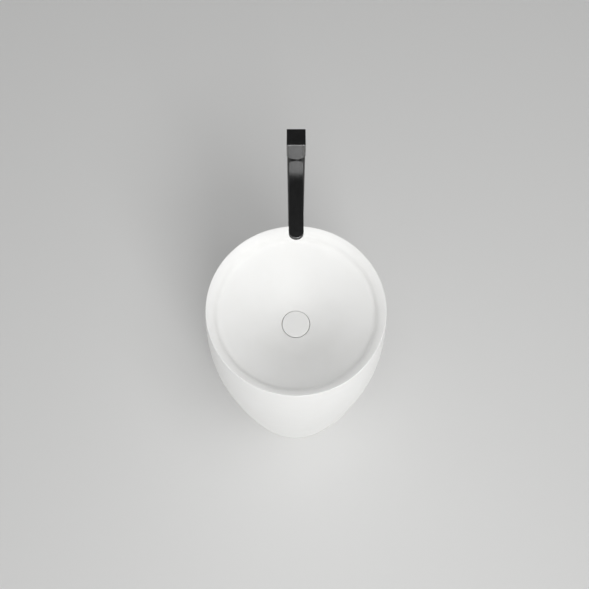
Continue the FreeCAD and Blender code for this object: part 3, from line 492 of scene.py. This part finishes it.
def lever_block():
    """The lever's grid, top to bottom: a flat top, four flat sides, the dome below and the socket up into it.

    Sides are a rounded square moved in by each edge's rounding, and the dome is the pivot's height less
    sqrt(R ^ 2 - x ^ 2 - y ^ 2). The socket is round, with a slot to the back that is bounded by |x| and y.
    """
    def inset(depth):
        return rounded_square(LEVER_WIDTH - 2 * depth, LEVER_DEPTH - 2 * depth, LEVER_CORNER - depth)

    def dome(plan):
        return PIVOT_Z - np.sqrt(DOME_RADIUS ** 2 - (plan ** 2).sum(axis=1))

    outline = inset(0)
    spoke = outline / np.linalg.norm(outline, axis=1, keepdims=True)
    sideways, backwards = np.maximum(np.abs(spoke[:, 0]), TINY), np.maximum(spoke[:, 1], TINY)
    reach = np.minimum(SLOT_HALF / sideways, SLOT_BACK / backwards)
    slot = spoke * np.where(spoke[:, 1] > 0, np.maximum(reach, SOCKET_R), SOCKET_R)[:, None]
    socket = spoke * SOCKET_R
    foot = inset(2 * LEVER_FOOT_EDGE)
    past_edge = LEVER_EDGE + LEVER_FLANK
    middle = np.zeros_like(outline)
    rows = [level(middle, LEVER_TOP_Z), level(inset(past_edge), LEVER_TOP_Z)]
    rows += [level(inset(into), LEVER_TOP_Z - down) for into, down in bevel(LEVER_EDGE)]
    rows += [level(outline, LEVER_TOP_Z - past_edge)]
    rows += [level(outline, GRUB_Z + 2 * GRUB_R), level(outline, GRUB_Z - 2 * GRUB_R)]
    rows += [level(outline, dome(outline) + rise * LEVER_FOOT_EDGE) for rise in (2, 1)]
    rows += [level(inset(LEVER_FOOT_EDGE), dome(inset(LEVER_FOOT_EDGE)))]
    for share in np.linspace(0, 1, DOME_STEPS):
        plan = foot + (slot - foot) * share
        rows.append(level(plan, dome(plan)))
    rows += [level(slot, SLOT_TOP_Z), level(socket, SLOT_TOP_Z)]
    rows += [level(socket, SOCKET_TOP_Z), level(middle, SOCKET_TOP_Z)]
    return np.stack(rows) + (0, TAP_Y, 0)


def socket_screw(radius, start_y, end_y, height, apothem):
    """A headless screw along Y: a turned rod with a small chamfer and a six-sided socket in its back end.

    The socket's edge lies at apothem / cos(a - 30), with a running from 0 to 60 in each sixth of a turn.
    """
    angles = np.linspace(0, FULL_TURN, SCREW_STEPS, endpoint=False)
    sixth = np.mod(angles, FULL_TURN / 6) - FULL_TURN / 12
    key = apothem / np.cos(sixth)
    depth = 2 * apothem
    rows = [
        (0, start_y), (radius, start_y), (radius, end_y - SCREW_CHAMFER), (radius - SCREW_CHAMFER, end_y),
        (key, end_y), (key, end_y - depth), (0, end_y - depth),
    ]
    return np.stack([
        np.column_stack([size * np.cos(angles), np.full(SCREW_STEPS, y), height + size * np.sin(angles)])
        for size, y in rows
    ])


# Finishes


def node(tree, kind, settings=None, links=None):
    """A node of one kind, with its settings put on its inputs or properties and its links joined."""
    made = tree.nodes.new(kind)
    for name, value in (settings or {}).items():
        if isinstance(name, int) or name in made.inputs:
            made.inputs[name].default_value = value
        else:
            setattr(made, name, value)
    for name, socket in (links or {}).items():
        tree.links.new(socket, made.inputs[name])
    return made


def finish(name, settings):
    """A new material with its shader's plain settings, its tree, its shader and the object coordinates."""
    made = bpy.data.materials.new(name)
    made.use_nodes = True
    tree = made.node_tree
    shader = tree.nodes["Principled BSDF"]
    for socket, value in settings.items():
        shader.inputs[socket].default_value = value
    place = node(tree, "ShaderNodeTexCoord").outputs["Object"]
    return made, tree, shader, place


def vary(tree, shader, share, dark, pale, smooth, rough):
    """Colour and roughness that run with one share: from dark and smooth to pale and rough."""
    colour = node(tree, "ShaderNodeMix", {"data_type": "RGBA", 6: linear(dark), 7: linear(pale)}, {0: share})
    gloss = node(tree, "ShaderNodeMapRange", {"To Min": smooth, "To Max": rough}, {"Value": share})
    tree.links.new(colour.outputs[2], shader.inputs["Base Color"])
    tree.links.new(gloss.outputs[0], shader.inputs["Roughness"])


def raise_skin(tree, shader, share, depth, strength):
    """A bump of a real depth in metres on the shader's normal."""
    bump = node(tree, "ShaderNodeBump", {"Distance": depth, "Strength": strength}, {"Height": share})
    tree.links.new(bump.outputs[0], shader.inputs["Normal"])


def cast_mineral():
    """Cast mineral and resin, sanded: a white satin skin with a broad soft highlight and a faint mottle."""
    made, tree, shader, place = finish("cast_mineral_white", {"IOR": 1.5})
    mottle = node(tree, "ShaderNodeTexNoise", {"Scale": 1 / (50 * MM), "Detail": 3.0}, {"Vector": place})
    vary(tree, shader, mottle.outputs["Fac"], "#E9E9E7", "#EDEDEC", 0.5, 0.58)
    # Sanding grit is a tenth of a millimetre, drawn at a millimetre so that it shows.
    grit = node(tree, "ShaderNodeTexNoise", {"Scale": 1 / (1 * MM), "Detail": 2.0}, {"Vector": place})
    raise_skin(tree, shader, grit.outputs["Fac"], 0.1 * MM, 0.02)
    return made


def clear_silicone():
    """Cured silicone sealant: pale, slightly translucent and smooth, with a soft wet sheen."""
    made, tree, shader, place = finish("clear_silicone", {
        "IOR": 1.41, "Subsurface Weight": 0.15, "Subsurface Scale": 2 * MM,
    })
    cloud = node(tree, "ShaderNodeTexNoise", {"Scale": 1 / (8 * MM), "Detail": 2.0}, {"Vector": place})
    vary(tree, shader, cloud.outputs["Fac"], "#D6D6D2", "#E2E2DF", 0.28, 0.38)
    return made


def black_chrome():
    """Black chrome plate over polished brass: a dark soft mirror, darker still at a glancing angle."""
    made, tree, shader, place = finish("black_chrome_plate", {
        "Metallic": 1.0, "Specular Tint": linear("#7C7C7C"),
    })
    haze = node(tree, "ShaderNodeTexNoise", {"Scale": 1 / (14 * MM), "Detail": 4.0}, {"Vector": place})
    vary(tree, shader, haze.outputs["Fac"], "#838383", "#8B8B8B", 0.2, 0.26)
    # Hand polishing leaves a faint waviness, about a centimetre long.
    waves = node(tree, "ShaderNodeTexNoise", {"Scale": 1 / (11 * MM), "Detail": 1.0}, {"Vector": place})
    raise_skin(tree, shader, waves.outputs["Fac"], 0.03 * MM, 0.5)
    return made


def chrome():
    """Bright chrome plate: a clear pale mirror with faint water spots in its gloss."""
    made, tree, shader, place = finish("bright_chrome_plate", {"Metallic": 1.0})
    spots = node(tree, "ShaderNodeTexNoise", {"Scale": 1 / (6 * MM), "Detail": 3.0}, {"Vector": place})
    vary(tree, shader, spots.outputs["Fac"], "#DCDEE0", "#E6E7E8", 0.05, 0.12)
    return made


def turned(name, dark, pale, smooth, rough):
    """A machined metal whose fine turning grooves, 0.4 mm apart, run round the pieces' upright axis.

    The grooves are a noise stretched flat, so that height above the floor alone changes it quickly.
    """
    made, tree, shader, place = finish(name, {"Metallic": 1.0})
    along, across = 1 / (30 * MM), 1 / (0.4 * MM)
    flat = node(tree, "ShaderNodeMapping", {"Scale": (along, along, across)}, {"Vector": place})
    grooves = node(tree, "ShaderNodeTexNoise", {"Scale": 1.0, "Detail": 2.0}, {"Vector": flat.outputs[0]})
    vary(tree, shader, grooves.outputs["Fac"], dark, pale, smooth, rough)
    raise_skin(tree, shader, grooves.outputs["Fac"], 0.02 * MM, 0.3)
    return made


def moulded(name, dark, pale, smooth, rough, grain):
    """A moulded plastic or rubber: a colour clouded by flow, under its mould's grain in millimetres."""
    made, tree, shader, place = finish(name, {"IOR": 1.49})
    flow = node(tree, "ShaderNodeTexNoise", {"Scale": 1 / (20 * MM), "Detail": 3.0}, {"Vector": place})
    vary(tree, shader, flow.outputs["Fac"], dark, pale, smooth, rough)
    pits = node(tree, "ShaderNodeTexNoise", {"Scale": 1 / (grain * MM), "Detail": 2.0}, {"Vector": place})
    raise_skin(tree, shader, pits.outputs["Fac"], 0.03 * MM, 0.25)
    return made


def aerator_mesh():
    """Moulded acetal mesh: grey ribs round square holes 1.2 mm apart, the holes painted near black as painted
    shade, so that the mesh reads as a fine dark screen.
    """
    made, tree, shader, place = finish("acetal_mesh", {"IOR": 1.48})
    cells = node(tree, "ShaderNodeTexVoronoi", {
        "voronoi_dimensions": "2D", "feature": "DISTANCE_TO_EDGE", "Randomness": 0.0, "Scale": 1 / (1.2 * MM),
    }, {"Vector": place})
    # A rib reaches about a fifth of a cell in from the cell's edge.
    rib = node(tree, "ShaderNodeMapRange", {"From Min": 0.24, "From Max": 0.16}, {
        "Value": cells.outputs["Distance"],
    })
    # The dark end fills the holes with painted shade; the pale end is the ribs' own grey.
    vary(tree, shader, rib.outputs[0], "#08090A", "#5A5C5F", 0.6, 0.4)
    raise_skin(tree, shader, rib.outputs[0], 0.6 * MM, 1.0)
    return made


def steel_braid():
    """Braided stainless wire over rubber: slanting wires 1.6 mm apart, two ways, that leave dark diamonds."""
    made, tree, shader, place = finish("steel_braid", {"Metallic": 1.0})
    wires = []
    # At scale 1 a wave's bands lie a twentieth of a full turn apart.
    for lean in (35, -35):
        slant = node(tree, "ShaderNodeMapping", {"Rotation": (0, math.radians(lean), 0)}, {"Vector": place})
        wires.append(node(tree, "ShaderNodeTexWave", {
            "bands_direction": "Z", "Scale": FULL_TURN / 20 / (1.6 * MM), "Distortion": 0.0,
        }, {"Vector": slant.outputs[0]}).outputs["Fac"])
    crossing = node(tree, "ShaderNodeMath", {"operation": "MAXIMUM"}, {0: wires[0], 1: wires[1]})
    vary(tree, shader, crossing.outputs[0], "#3A3A3A", "#C9CACB", 0.5, 0.25)
    raise_skin(tree, shader, crossing.outputs[0], 0.3 * MM, 0.8)
    return made


finishes = {
    "white_cast": cast_mineral(),
    "clear_seal": clear_silicone(),
    "black_chrome": black_chrome(),
    "chrome_plate": chrome(),
    # Brass turned on a lathe: a warm yellow metal with fine bright rings.
    "brass": turned("turned_brass", "#C39A54", "#DDB970", 0.22, 0.34),
    # Stainless steel turned on a lathe: a neutral grey metal with fine bright rings.
    "stainless_steel": turned("turned_stainless", "#B4B4B3", "#CFCFCE", 0.24, 0.36),
    # Nitrile rubber: near black and dull.
    "black_rubber": moulded("nitrile_rubber", "#121212", "#1B1B1B", 0.55, 0.7, 0.5),
    # Polypropylene from a spark-eroded mould: milky white with a soft sheen.
    "white_plastic": moulded("polypropylene_white", "#E4E4E1", "#EEEEEC", 0.34, 0.44, 0.6),
    # Acetal: dark grey with an oily sheen.
    "grey_plastic": moulded("acetal_grey", "#333537", "#3F4143", 0.3, 0.42, 0.4),
    "steel_braid": steel_braid(),
}

# Basin and drain cover

piece("bowl_cast", [lathe(bowl_profile(), BASIN_STEPS)], "stand", ["bowl"], "white_cast", closed=True)
piece("pedestal_cast", [lathe(pedestal_profile(), BASIN_STEPS)], "stand", ["pedestal_shell"], "white_cast",
      closed=True)
piece("drain_disc", [lathe(cover_profile(), COVER_STEPS)], "plug", ["drain_cover"], "white_cast")

# Column, its set screw and the cover on the floor

column = lathe(column_profile(), COLUMN_STEPS, TAP_Y)
# The profile's rows on each side of the screw, and the grid column that faces straight back.
below_screw, above_screw = 2, 3
column_back = COLUMN_STEPS // 4
column_window = slice(column_back - SCREW_COLUMNS, column_back + SCREW_COLUMNS + 1)
column_hole = drilled(column, above_screw, below_screw, column_window,
                      lambda x: TAP_Y + np.sqrt(COLUMN_R ** 2 - x ** 2),
                      SCREW_R + SCREW_FIT, SCREW_Z, SCREW_Y[0])
piece("column_pipe", [column, column_hole], "stand", ["column_tube"], "black_chrome", closed=True,
      window=(below_screw, column_window))
piece("column_screw", [socket_screw(SCREW_R, *SCREW_Y, SCREW_Z, SCREW_KEY)], "stand", ["column_set_screw"],
      "stainless_steel")
piece("rosette", [lathe(rosette_profile(), ROSETTE_STEPS, TAP_Y)], "stand", ["floor_rosette"], "black_chrome",
      closed=True)

# Spout

piece("spout_collar", [lathe(collar_profile(), COLUMN_STEPS, TAP_Y)], "stand", ["spout"], "black_chrome",
      closed=True)
piece("spout_arm", [spout_plate()], "stand", ["spout"], "black_chrome", closed=True)

# Lever and its grub screw

lever = lever_block()
lever_back = TAP_Y + LEVER_DEPTH / 2
above_grub = int(np.argmin(np.abs(lever[:, 0, 2] - (GRUB_Z + 2 * GRUB_R))))
side = lever[above_grub]
behind = np.flatnonzero((side[:, 1] > lever_back - SCREW_FIT) & (np.abs(side[:, 0]) < GRUB_WINDOW))
lever_window = slice(behind[0], behind[-1] + 1)
lever_hole = drilled(lever, above_grub, above_grub + 1, lever_window, lambda x: np.full_like(x, lever_back),
                     GRUB_R + SCREW_FIT, GRUB_Z, GRUB_Y[0])
piece("lever_handle", [lever, lever_hole], "handle", ["lever"], "black_chrome",
      window=(above_grub, lever_window))
piece("lever_screw", [socket_screw(GRUB_R, *GRUB_Y, GRUB_Z, GRUB_KEY)], "handle", ["lever_grub_screw"],
      "stainless_steel")

# Every solid takes the finish of its slot. Those that no new piece replaces are shown.

for part in frame["record"]["subparts"]:
    solid = nodes[part["node"]].data
    solid.materials.clear()
    solid.materials.append(finishes[part["material_slot"]])
nodes["aerator_insert"].data.materials[0] = aerator_mesh()

# Stage


def softbox(name, place, aim, size, power):
    """A square area lamp at a place, turned to face a point."""
    lamp = bpy.data.lights.new(name, "AREA")
    lamp.size = size
    lamp.energy = power
    made = bpy.data.objects.new(name, lamp)
    bpy.context.scene.collection.objects.link(made)
    made.location = place
    x, y, z = np.array(aim) - np.array(place)
    made.rotation_euler = Euler((math.atan2(math.hypot(x, y), -z), 0, math.atan2(x, -y) + math.pi))


# Painted screed: a plain pale floor with a dull sheen.
floor_mesh = bpy.data.meshes.new("floor")
floor_corners = [(x * FLOOR_HALF, y * FLOOR_HALF, 0) for x, y in ((-1, -1), (1, -1), (1, 1), (-1, 1))]
floor_mesh.from_pydata(floor_corners, [], [(0, 1, 2, 3)])
floor_mesh.materials.append(finish("floor_paint", {"Base Color": linear("#DCDCDB"), "Roughness": 0.6})[0])
floor = bpy.data.objects.new("floor", floor_mesh)
bpy.context.scene.collection.objects.link(floor)

turn, rise = math.radians(KEY_AZIMUTH), math.radians(KEY_RISE)
key_way = np.array([math.sin(turn) * math.cos(rise), -math.cos(turn) * math.cos(rise), math.sin(rise)])
softbox("key", KEY_AIM + KEY_FAR * key_way, KEY_AIM, KEY_SIZE, KEY_POWER)
softbox("front", FRONT_PLACE, FRONT_AIM, FRONT_SIZE, FRONT_POWER)

# The studio has grey walls, brighter to the front, and a dark ceiling that the tap's tops mirror.
world = bpy.data.worlds.new("studio")
world.use_nodes = True
sky = world.node_tree
background = sky.nodes["Background"]
way = node(sky, "ShaderNodeSeparateXYZ", links={0: node(sky, "ShaderNodeTexCoord").outputs["Generated"]})
walls = node(sky, "ShaderNodeValToRGB", links={0: way.outputs["Z"]})
stops = walls.color_ramp.elements
stops.remove(stops[1])
for degrees, brightness in STUDIO_WALLS:
    stops.new(math.sin(math.radians(degrees))).color = (brightness, brightness, brightness, 1)
stops.remove(stops[0])
ahead = node(sky, "ShaderNodeMapRange", {
    "From Min": -1.0, "From Max": 1.0, "To Min": FRONT_SHARE, "To Max": BACK_SHARE,
}, {"Value": way.outputs["Y"]})
sky.links.new(walls.outputs["Color"], background.inputs["Color"])
sky.links.new(ahead.outputs[0], background.inputs["Strength"])
bpy.context.scene.world = world

camera_data = bpy.data.cameras.new("camera")
camera_data.sensor_width = SENSOR_WIDTH
camera_data.lens = FOCAL_PIXELS / PHOTO_WIDTH * SENSOR_WIDTH
camera = bpy.data.objects.new("camera", camera_data)
bpy.context.scene.collection.objects.link(camera)
camera.location = CAMERA_PLACE
camera.rotation_euler = Euler((math.radians(90 - PITCH), 0, 0))
bpy.context.scene.camera = camera
bpy.context.scene.view_settings.view_transform = "Standard"
